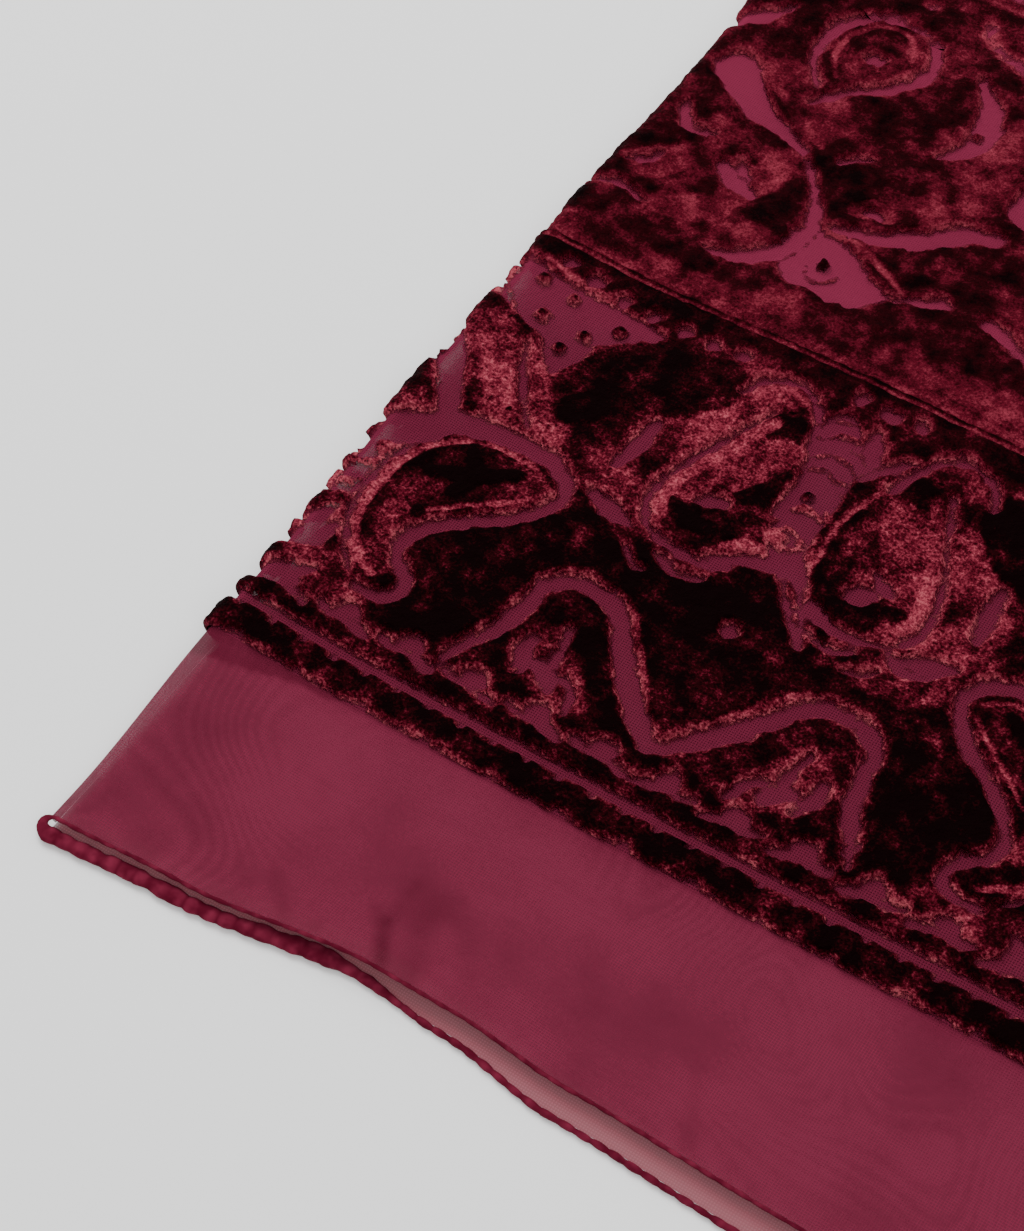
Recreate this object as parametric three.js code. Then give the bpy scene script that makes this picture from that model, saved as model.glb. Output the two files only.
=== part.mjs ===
// A burnt-out velvet scarf, folded once along its length and lying flat on a surface.
// The cloth is one long cut of fine crepe with a velvet pile. The pile is burnt away at both ends,
// which leaves a sheer border there, and along narrow lines across the velvet. All four raw edges
// are rolled into a fine puckered hem. The near end is at -Y, and the fold is at -X.
import * as THREE from "three";

// The cut of the cloth, in millimetres
const CUT_WIDTH = 500;
const CUT_LENGTH = 1600;
const SHEER_DEPTH = 36.4;
const BORDER_LINE = 43.1; // from each end to the burnt-out line in the border band
const ROW_LINE = 130; // from each end to the first burnt-out line between rows of motifs
const ROWS = 15; // rows of motifs between the first line and the last

// Walls, seams and hems
const VELVET_WALL = 2;
const SHEER_WALL = 1;
const SEAM_GAP = 0.3;
const LINE_DEPTH = 1;
const LINE_HALF_WIDTH = 1.3;
const HEM_RADIUS = 0.9;
const HEM_PINCH = 0.84; // the hem's radius where its stitches draw it in, as a share
const HEM_SIDES = 6;
const SIDE_HEM_STEP = 50;

// The folded scarf. Across is measured from the fold, and along from the near end.
const FOLDED_WIDTH = CUT_WIDTH / 2;
const DIP_REACH = 24; // how far from the fold the upper layer takes to come down
const TURN_PARTS = 6;
const VELVET_STEPS = 8;
const HIDDEN_STEPS = 4;
const BORDER_STEPS = 20; // the hem has a stitch's pinch midway along each

// Heights of the middle of the wall: the lower layer, the turn's radius and the upper layer
const VELVET_FORM = { under: 1, radius: 2, upper: 3.3 };
const SEAM_FORM = { under: 0.5, radius: 1.9, upper: 2.8 };
const BORDER_FORM = { under: 0.5, radius: 0.8, upper: 1.8 };
const BORDER_SETTLES = 16; // from the end to where the border starts to rise to the velvet
const HEM_LIFT = 0.5;
const HEM_LIFT_REACH = 9;
const UNDER_HEM_HEIGHT = HEM_RADIUS * Math.sin(Math.PI / 3);
const UPPER_HEM_HEIGHT = BORDER_FORM.upper + HEM_LIFT;

// Soft swells of the upper layer: the middle, the turn in degrees away from straight across,
// the reach both ways along the swell, its half width and its height
const SWELLS = [
  { across: 68, along: 132, turn: 12, reach: 46, half: 24, rise: 1.6 },
  { across: 34, along: 82, turn: 60, reach: 40, half: 18, rise: 0.7 },
  { across: 130, along: 62, turn: -20, reach: 60, half: 22, rise: 1.2 },
  { across: 205, along: 120, turn: 70, reach: 60, half: 26, rise: 1.5 },
  { across: 60, along: 250, turn: -25, reach: 70, half: 26, rise: 1.3 },
  { across: 170, along: 330, turn: 15, reach: 80, half: 30, rise: 1.9 },
  { across: 90, along: 430, turn: 75, reach: 90, half: 24, rise: 1.4 },
  { across: 200, along: 540, turn: -35, reach: 70, half: 28, rise: 1.6 },
  { across: 70, along: 620, turn: 20, reach: 60, half: 30, rise: 1.2 },
  { across: 150, along: 730, turn: -10, reach: 90, half: 26, rise: 1.8 },
  { across: 60, along: 840, turn: 65, reach: 80, half: 22, rise: 1.3 },
  { across: 190, along: 930, turn: 30, reach: 70, half: 30, rise: 1.5 },
  { across: 100, along: 1040, turn: -18, reach: 90, half: 28, rise: 1.7 },
  { across: 210, along: 1150, turn: 80, reach: 80, half: 24, rise: 1.3 },
  { across: 80, along: 1230, turn: 10, reach: 70, half: 30, rise: 1.6 },
  { across: 160, along: 1340, turn: -40, reach: 80, half: 26, rise: 1.4 },
  { across: 70, along: 1440, turn: 25, reach: 60, half: 24, rise: 1.1 },
  { across: 190, along: 1520, turn: -15, reach: 60, half: 22, rise: 1.2 },
];

// How far each layer's end lies inside the straight end of the cut, and the hem's lift there
const NEAR_END = [
  { across: 0, upper: -1.6, under: -3.4, lift: 0 },
  { across: 22, upper: -0.6, under: -2, lift: 0.1 },
  { across: 53, upper: 2.4, under: 2, lift: 1.1 },
  { across: 66, upper: 2.6, under: 0.9, lift: 0.4 },
  { across: 85, upper: 1.3, under: -1.6, lift: 0 },
  { across: 120, upper: 0.4, under: -2.8, lift: 0.1 },
  { across: 160, upper: 1.2, under: -2, lift: 0.5 },
  { across: 205, upper: -0.4, under: -3, lift: 0 },
  { across: FOLDED_WIDTH, upper: 0.2, under: -2.4, lift: 0.2 },
];
const FAR_END = [
  { across: 0, upper: -0.8, under: -3, lift: 0 },
  { across: 40, upper: 0.6, under: -2.2, lift: 0.2 },
  { across: 90, upper: 1.8, under: -1, lift: 0.6 },
  { across: 150, upper: 0.2, under: -3.2, lift: 0 },
  { across: 200, upper: 1.4, under: -1.8, lift: 0.4 },
  { across: FOLDED_WIDTH, upper: 0, under: -2.6, lift: 0.1 },
];

const VELVET = new THREE.MeshStandardMaterial({
  color: 0x4a0618,
  roughness: 0.9,
  metalness: 0,
});
const SHEER = new THREE.MeshStandardMaterial({
  color: 0x7a2a42,
  roughness: 0.75,
  metalness: 0,
});
const HEM = new THREE.MeshStandardMaterial({
  color: 0x661a30,
  roughness: 0.8,
  metalness: 0,
});

const mix = THREE.MathUtils.lerp;
const ease = (x, low, high) => THREE.MathUtils.smoothstep(x, low, high);
const bell = (x, half) => Math.exp(-((x / half) ** 2));
const fromEndOf = (along) => Math.min(along, CUT_LENGTH - along);
const endOf = (along) => (along < CUT_LENGTH / 2 ? NEAR_END : FAR_END);

// How far the swells lift the upper layer at a place on the cloth
function swell(across, along) {
  let rise = 0;
  for (const s of SWELLS) {
    const turn = THREE.MathUtils.degToRad(s.turn);
    const dx = across - s.across;
    const dy = along - s.along;
    const onward = dx * Math.cos(turn) + dy * Math.sin(turn);
    const aside = dy * Math.cos(turn) - dx * Math.sin(turn);
    rise += s.rise * bell(onward, s.reach) * bell(aside, s.half);
  }
  return rise;
}

// One column of an end's table, eased between its stops
function endColumn(table, column, across) {
  let value = table[0][column];
  for (let i = 0; i + 1 < table.length; i++) {
    const [from, to] = [table[i], table[i + 1]];
    const change = to[column] - from[column];
    value += change * ease(across, from.across, to.across);
  }
  return value;
}

// The wall's heights and turn at a place along the cloth
function formAt(along) {
  const fromEnd = fromEndOf(along);
  if (fromEnd >= SHEER_DEPTH) return VELVET_FORM;
  const t = ease(fromEnd, BORDER_SETTLES, SHEER_DEPTH);
  return {
    under: mix(BORDER_FORM.under, SEAM_FORM.under, t),
    radius: mix(BORDER_FORM.radius, SEAM_FORM.radius, t),
    upper: mix(BORDER_FORM.upper, SEAM_FORM.upper, t),
  };
}

// X of a place: the fold wanders a little, and each layer's open edge wanders on its own
const foldWander = (along) =>
  0.5 * Math.sin(along / 22) + 0.3 * Math.sin(along / 9 + 1);
const EDGE_WANDER = {
  upper: (along) => 0.9 * Math.sin(along / 48 + 0.6),
  under: (along) => 3 + 0.8 * Math.sin(along / 39 + 2),
};
function placeX(across, along, layer) {
  const nearFold = foldWander(along) * Math.exp(-across / 30);
  const share = ease(across, FOLDED_WIDTH - 60, FOLDED_WIDTH);
  return across + nearFold + EDGE_WANDER[layer](along) * share;
}

// Y of a place, which its end's shape moves less and less away from the end
function placeY(across, along, layer) {
  const shift = endColumn(endOf(along), layer, across);
  const share = 1 - ease(fromEndOf(along), 0, SHEER_DEPTH);
  return along + (along < CUT_LENGTH / 2 ? shift : -shift) * share;
}

// Height of the middle of the upper layer's wall
function upperHeight(across, along) {
  const fromEnd = fromEndOf(along);
  const form = formAt(along);
  const lift = HEM_LIFT + endColumn(endOf(along), "lift", across);
  const turnTop = form.under + 2 * form.radius;
  const flat =
    form.upper +
    swell(across, along) * ease(fromEnd, 0, SHEER_DEPTH) +
    lift * (1 - ease(fromEnd, 0, HEM_LIFT_REACH));
  return mix(turnTop, flat, ease(across, form.radius, DIP_REACH));
}

// One section across both layers: along the lower one to the fold, round the turn, and along the
// upper one to its open edge. Each stop has the middle of the wall and the way out of the cloth.
function section(along, underAcross, upperAcross) {
  const form = formAt(along);
  const stops = [];
  for (const across of underAcross)
    stops.push({
      middle: new THREE.Vector3(
        placeX(across, along, "under"),
        placeY(across, along, "under"),
        form.under,
      ),
      out: new THREE.Vector3(0, 0, -1),
      upper: false,
    });
  for (let i = 1; i < TURN_PARTS; i++) {
    const angle = -Math.PI / 2 - (Math.PI * i) / TURN_PARTS;
    const across = form.radius * (1 + Math.cos(angle));
    const rise = i / TURN_PARTS;
    stops.push({
      middle: new THREE.Vector3(
        placeX(across, along, "upper"),
        mix(placeY(0, along, "under"), placeY(0, along, "upper"), rise),
        form.under + form.radius * (1 + Math.sin(angle)),
      ),
      out: new THREE.Vector3(Math.cos(angle), 0, Math.sin(angle)),
      upper: rise > 1 / 2,
    });
  }
  for (const across of upperAcross)
    stops.push({
      middle: new THREE.Vector3(
        placeX(across, along, "upper"),
        placeY(across, along, "upper"),
        upperHeight(across, along),
      ),
      out: new THREE.Vector3(0, 0, 1),
      upper: true,
    });
  return stops;
}

// The closed ring round a wall: along its outer side and back along its inner side.
// A burnt-out line lowers the outer side of the upper layer.
function wallRing(stops, half, depth) {
  const at = (s, offset) => s.middle.clone().addScaledVector(s.out, offset);
  return [
    ...stops.map((s) => at(s, s.upper ? half - depth : half)),
    ...stops.map((s) => at(s, -half)).reverse(),
  ];
}

// A closed solid through rings of the same number of points, with a strip across each end
function loft(rings) {
  const count = rings[0].length;
  const positions = rings.flat().flatMap((p) => [p.x, p.y, p.z]);
  const index = [];
  for (let i = 0; i + 1 < rings.length; i++)
    for (let k = 0; k < count; k++) {
      const a = i * count + k;
      const b = i * count + ((k + 1) % count);
      index.push(a, b, b + count, a, b + count, a + count);
    }
  const last = (rings.length - 1) * count;
  for (let k = 0; k < count / 2 - 1; k++) {
    const [a, b, c, d] = [k, k + 1, count - 2 - k, count - 1 - k];
    index.push(a, d, c, a, c, b);
    index.push(last + a, last + c, last + d, last + a, last + b, last + c);
  }
  return new THREE.BufferGeometry()
    .setAttribute("position", new THREE.Float32BufferAttribute(positions, 3))
    .setIndex(index);
}

// A round cord through stops that each have a middle and a radius
function cord(stops) {
  const up = new THREE.Vector3(0, 0, 1);
  return loft(
    stops.map(({ middle, radius }, i) => {
      const before = stops[Math.max(i - 1, 0)].middle;
      const after = stops[Math.min(i + 1, stops.length - 1)].middle;
      const onward = after.clone().sub(before).normalize();
      const side = onward.clone().cross(up).normalize();
      const over = side.clone().cross(onward);
      return steps(0, HEM_SIDES - 1, HEM_SIDES - 1).map((k) => {
        const angle = (-2 * Math.PI * k) / HEM_SIDES;
        return middle
          .clone()
          .addScaledVector(side, radius * Math.cos(angle))
          .addScaledVector(over, radius * Math.sin(angle));
      });
    }),
  );
}

// Even steps from low to high, both ends included
function steps(low, high, count) {
  return Array.from({ length: count + 1 }, (_, i) => mix(low, high, i / count));
}

// Steps that are short beside the fold, where the cloth comes down, and long further away
function widening(low, high, count) {
  return steps(0, 1, count).map((t) => mix(low, high, t ** 1.4));
}

// Stations along the velvet: both sides and the bottom of each line, and two between lines
function velvetStations() {
  const start = SHEER_DEPTH + SEAM_GAP / 2;
  const rowLines = steps(ROW_LINE, CUT_LENGTH - ROW_LINE, ROWS);
  const stations = [{ along: start, depth: 0 }];
  let from = start;
  for (const line of [BORDER_LINE, ...rowLines, CUT_LENGTH - BORDER_LINE]) {
    const near = line - LINE_HALF_WIDTH;
    if (near - from > SHEER_DEPTH)
      for (const share of [1 / 3, 2 / 3])
        stations.push({ along: mix(from, near, share), depth: 0 });
    from = line + LINE_HALF_WIDTH;
    stations.push({ along: near, depth: 0 });
    stations.push({ along: line, depth: LINE_DEPTH });
    stations.push({ along: from, depth: 0 });
  }
  stations.push({ along: CUT_LENGTH - start, depth: 0 });
  return stations;
}

// The velvet, from the seam with one sheer border to the seam with the other
function velvetField() {
  const { radius } = VELVET_FORM;
  const underAcross = steps(FOLDED_WIDTH, radius, HIDDEN_STEPS);
  const upperAcross = widening(radius, FOLDED_WIDTH, VELVET_STEPS);
  return loft(
    velvetStations().map(({ along, depth }) =>
      wallRing(
        section(along, underAcross, upperAcross),
        VELVET_WALL / 2,
        depth,
      ),
    ),
  );
}

// A sheer border, from its hem to its seam with the velvet
function sheerBorder(near) {
  const inner = SHEER_DEPTH - SEAM_GAP / 2;
  const fromEnd = [0, HEM_LIFT_REACH, BORDER_SETTLES, 26, inner];
  const places = near ? fromEnd : fromEnd.map((d) => CUT_LENGTH - d).reverse();
  return loft(
    places.map((along) => {
      const across = borderAcross(along);
      return wallRing(
        section(along, across.toReversed(), across),
        SHEER_WALL / 2,
        0,
      );
    }),
  );
}

const borderAcross = (along) =>
  steps(formAt(along).radius, FOLDED_WIDTH, BORDER_STEPS);

// The hem's run along one layer's end, from the fold to just past the open edge.
// A pinched stop lies midway between each two of the border's own edge points.
function hemRun(layer, end) {
  const outward = end === 0 ? -1 : 1;
  const edge = borderAcross(end).map((across) => {
    const lift = endColumn(endOf(end), "lift", across);
    return new THREE.Vector3(
      placeX(across, end, layer),
      placeY(across, end, layer) + outward * (HEM_RADIUS + SEAM_GAP),
      layer === "upper" ? UPPER_HEM_HEIGHT + lift : UNDER_HEM_HEIGHT,
    );
  });
  const run = edge.flatMap((place, i) =>
    i === 0 ? [place] : [edge[i - 1].clone().lerp(place, 1 / 2), place],
  );
  const past = run.at(-1).clone();
  past.x += HEM_RADIUS + 2 * SEAM_GAP;
  return [...run, past];
}

// The rolled hem of one end: along the upper layer, back round the fold and along the lower layer
function endHem(end) {
  const upperRun = hemRun("upper", end).reverse();
  const underRun = hemRun("under", end);
  const [from, to] = [upperRun.at(-1), underRun[0]];
  const turnRadius = Math.abs(from.y - to.y) / 2;
  const turn = [1 / 4, 1 / 2, 3 / 4].map(
    (t) =>
      new THREE.Vector3(
        mix(from.x, to.x, t) - turnRadius * Math.sin(Math.PI * t),
        mix(from.y, to.y, (1 - Math.cos(Math.PI * t)) / 2),
        mix(from.z, to.z, t),
      ),
  );
  return cord(
    [...upperRun, ...turn, ...underRun].map((middle, i) => ({
      middle,
      radius: HEM_RADIUS * (i % 2 ? 1 : HEM_PINCH),
    })),
  );
}

// The rolled hem of one long edge, beside the upper layer or the lower one
function sideHem(layer) {
  const count = Math.round(CUT_LENGTH / SIDE_HEM_STEP);
  const beside = [0, HEM_LIFT_REACH, BORDER_SETTLES, 26];
  const places = [
    ...beside,
    ...steps(SHEER_DEPTH, CUT_LENGTH - SHEER_DEPTH, count),
    ...beside.map((d) => CUT_LENGTH - d).reverse(),
  ];
  const upper = layer === "upper";
  return cord(
    places.map((along) => ({
      middle: new THREE.Vector3(
        placeX(FOLDED_WIDTH, along, layer) + HEM_RADIUS + SEAM_GAP,
        placeY(FOLDED_WIDTH, along, layer),
        upper ? upperHeight(FOLDED_WIDTH, along) : UNDER_HEM_HEIGHT,
      ),
      radius: HEM_RADIUS,
    })),
  );
}

const scarf = new THREE.Group();
function sew(name, geometry, material) {
  geometry.computeVertexNormals();
  const mesh = new THREE.Mesh(geometry, material);
  mesh.name = name;
  scarf.add(mesh);
}

sew("velvet_field", velvetField(), VELVET);
sew("sheer_end_near", sheerBorder(true), SHEER);
sew("sheer_end_far", sheerBorder(false), SHEER);
sew("hem_end_near", endHem(0), HEM);
sew("hem_end_far", endHem(CUT_LENGTH), HEM);
sew("hem_side_top", sideHem("upper"), HEM);
sew("hem_side_under", sideHem("under"), HEM);

// The origin is under the middle of the whole scarf
const box = new THREE.Box3().setFromObject(scarf);
const middle = box.getCenter(new THREE.Vector3());
scarf.position.set(-middle.x, -middle.y, -box.min.z);

export default scarf;
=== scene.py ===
import math

import bpy
import numpy as np
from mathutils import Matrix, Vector


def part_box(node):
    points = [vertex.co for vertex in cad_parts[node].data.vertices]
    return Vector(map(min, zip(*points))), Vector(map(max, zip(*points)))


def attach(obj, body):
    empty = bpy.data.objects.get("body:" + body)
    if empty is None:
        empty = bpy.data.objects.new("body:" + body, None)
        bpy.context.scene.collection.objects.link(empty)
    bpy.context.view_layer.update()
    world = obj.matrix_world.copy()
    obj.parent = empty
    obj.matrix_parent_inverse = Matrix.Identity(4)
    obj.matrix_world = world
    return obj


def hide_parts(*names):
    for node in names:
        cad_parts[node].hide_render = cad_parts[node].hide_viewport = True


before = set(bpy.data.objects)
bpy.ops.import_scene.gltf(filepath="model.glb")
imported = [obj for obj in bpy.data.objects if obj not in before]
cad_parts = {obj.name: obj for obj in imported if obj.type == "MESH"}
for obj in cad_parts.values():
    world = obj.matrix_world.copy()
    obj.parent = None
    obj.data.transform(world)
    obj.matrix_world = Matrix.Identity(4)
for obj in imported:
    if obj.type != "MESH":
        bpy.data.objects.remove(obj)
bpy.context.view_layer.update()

# The velvet near the end in the photo. The scarf is one cut of fine crepe with a silk pile, and the
# pile is burnt away round the motifs by a printed paste, which leaves the sheer crepe bare there.
# It lies folded once along its length, so this upper layer starts in the turn of the fold.
MM = 0.001
CUT_LENGTH = 1600
FOLDED_WIDTH = 250
SHEER_DEPTH = 36.4
BORDER_LINE = 43.2
ROW_LINE = 130
ROW_COUNT = 15
ROW_PITCH = (CUT_LENGTH - 2 * ROW_LINE) / ROW_COUNT
FOLD_INSET = 1.78
END_INSET = 0.1
FOLD_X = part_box("velvet_field")[0][0] / MM + FOLD_INSET
END_Y = -CUT_LENGTH / 2 + END_INSET
PILE_HEIGHT = 1.4

# Soft swells of the upper layer: across, along, turn in degrees, reach, half width, rise
SWELLS = [
    (68, 132, 12, 46, 24, 1.6),
    (34, 82, 60, 40, 18, 0.7),
    (130, 62, -20, 60, 22, 1.2),
    (205, 120, 70, 60, 26, 1.5),
    (60, 250, -25, 70, 26, 1.3),
    (170, 330, 15, 80, 30, 1.9),
    (90, 430, 75, 90, 24, 1.4),
    (200, 540, -35, 70, 28, 1.6),
    (70, 620, 20, 60, 30, 1.2),
    (150, 730, -10, 90, 26, 1.8),
    (60, 840, 65, 80, 22, 1.3),
    (190, 930, 30, 70, 30, 1.5),
    (100, 1040, -18, 90, 28, 1.7),
    (210, 1150, 80, 80, 24, 1.3),
    (80, 1230, 10, 70, 30, 1.6),
    (160, 1340, -40, 80, 26, 1.4),
    (70, 1440, 25, 60, 24, 1.1),
    (190, 1520, -15, 60, 22, 1.2),
]

# How far each layer's end lies inside the straight end of the cut: across, upper, under, lift
NEAR_END = [
    (0, -1.6, -3.4, 0),
    (22, -0.6, -2, 0.1),
    (53, 2.4, 2, 1.1),
    (66, 2.6, 0.9, 0.4),
    (85, 1.3, -1.6, 0),
    (120, 0.4, -2.8, 0.1),
    (160, 1.2, -2, 0.5),
    (205, -0.4, -3, 0),
    (250, 0.2, -2.4, 0.2),
]
FAR_END = [
    (0, -0.8, -3, 0),
    (40, 0.6, -2.2, 0.2),
    (90, 1.8, -1, 0.6),
    (150, 0.2, -3.2, 0),
    (200, 1.4, -1.8, 0.4),
    (250, 0, -2.6, 0.1),
]
UPPER_SHIFT = 1
UNDER_SHIFT = 2
LIFT = 3

# Height of the lower crepe, radius of the turn, height of the upper crepe: at an end, and inside it
FORM_AT_END = (0.75, 0.75, 1.9)
FORM_INSIDE = (1.4, 1.6, 2.9)
FORM_FROM = 6
FORM_TO = 40

# Waves of the fold and of the open edges: how far, their length, and where they start
FOLD_WAVES = [(0.5, 22, 0), (0.3, 9, 1)]
FOLD_WAVE_REACH = 30
UPPER_EDGE_WAVE = (0.9, 48, 0.6)
UNDER_EDGE_WAVE = (0.8, 39, 2)
UNDER_EDGE_OUT = 3
EDGE_WAVE_REACH = 60
END_LIFT = 0.4
END_LIFT_REACH = 9
TURN_REACH = 24


def ease(x, low, high):
    t = np.clip((x - low) / (high - low), 0, 1)
    return t * t * (3 - 2 * t)


def mix(a, b, t):
    return a + (b - a) * t


# How far the swells lift a place on the upper layer
def swell(across, along):
    rise = 0 * across
    for s_across, s_along, turn, reach, half, height in SWELLS:
        angle = math.radians(turn)
        dx = across - s_across
        dy = along - s_along
        onward = dx * math.cos(angle) + dy * math.sin(angle)
        aside = dy * math.cos(angle) - dx * math.sin(angle)
        rise = rise + height * np.exp(-((onward / reach) ** 2) - (aside / half) ** 2)
    return rise


# One column of the nearer end's table, eased between its rows
def end_column(across, along, column):
    values = []
    for table in (NEAR_END, FAR_END):
        value = table[0][column] + 0 * across
        for start, stop in zip(table, table[1:]):
            change = stop[column] - start[column]
            value = value + change * ease(across, start[0], stop[0])
        values.append(value)
    return np.where(along < CUT_LENGTH / 2, values[0], values[1])


# The crepe's heights and the turn's radius, by the distance from the nearer end
def cloth_form(along):
    from_end = np.minimum(along, CUT_LENGTH - along)
    t = ease(from_end, FORM_FROM, FORM_TO)
    return [mix(at_end, inside, t) for at_end, inside in zip(FORM_AT_END, FORM_INSIDE)]


turn_bottom, turn_radius, _ = cloth_form(CUT_LENGTH / 2)


def wave(along, far, length, start):
    return far * np.sin(along / length + start)


# Where a place on a layer comes to lie, in millimetres, with the waves of its edges and its end
def lay_cloth(across, along, height, under):
    from_end = np.minimum(along, CUT_LENGTH - along)
    near_fold = sum(wave(along, *fold_wave) for fold_wave in FOLD_WAVES)
    open_edge = wave(along, *UPPER_EDGE_WAVE)
    if under:
        open_edge = UNDER_EDGE_OUT + wave(along, *UNDER_EDGE_WAVE)
    x = across + near_fold * np.exp(-across / FOLD_WAVE_REACH)
    x = x + open_edge * ease(across, FOLDED_WIDTH - EDGE_WAVE_REACH, FOLDED_WIDTH)
    shift = end_column(across, along, UNDER_SHIFT if under else UPPER_SHIFT)
    share = 1 - ease(from_end, 0, SHEER_DEPTH)
    y = along + np.where(along < CUT_LENGTH / 2, shift, -shift) * share
    return np.stack([x + FOLD_X, y + END_Y, height], axis=-1)


# How high the upper layer's crepe lies
def upper_height(across, along):
    from_end = np.minimum(along, CUT_LENGTH - along)
    under, radius, upper = cloth_form(along)
    lift = END_LIFT + end_column(across, along, LIFT)
    flat = upper + swell(across, along) * ease(from_end, 0, SHEER_DEPTH)
    flat = flat + lift * (1 - ease(from_end, 0, END_LIFT_REACH))
    return mix(under + 2 * radius, flat, ease(across, radius, TURN_REACH))


NOISE_GRID = 256


# Smooth noise from a fixed grid of random numbers, between -1 and 1
def smooth_noise(x, y, cell, seed):
    grid = np.random.default_rng(seed).uniform(-1, 1, (NOISE_GRID, NOISE_GRID))
    u = x / cell
    v = y / cell
    i = np.floor(u).astype(int)
    j = np.floor(v).astype(int)
    fu = ease(u - i, 0, 1)
    fv = ease(v - j, 0, 1)
    i_low = i % NOISE_GRID
    i_high = (i + 1) % NOISE_GRID
    j_low = j % NOISE_GRID
    j_high = (j + 1) % NOISE_GRID
    low = mix(grid[i_low, j_low], grid[i_high, j_low], fu)
    high = mix(grid[i_low, j_high], grid[i_high, j_high], fu)
    return mix(low, high, fv)


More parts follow.
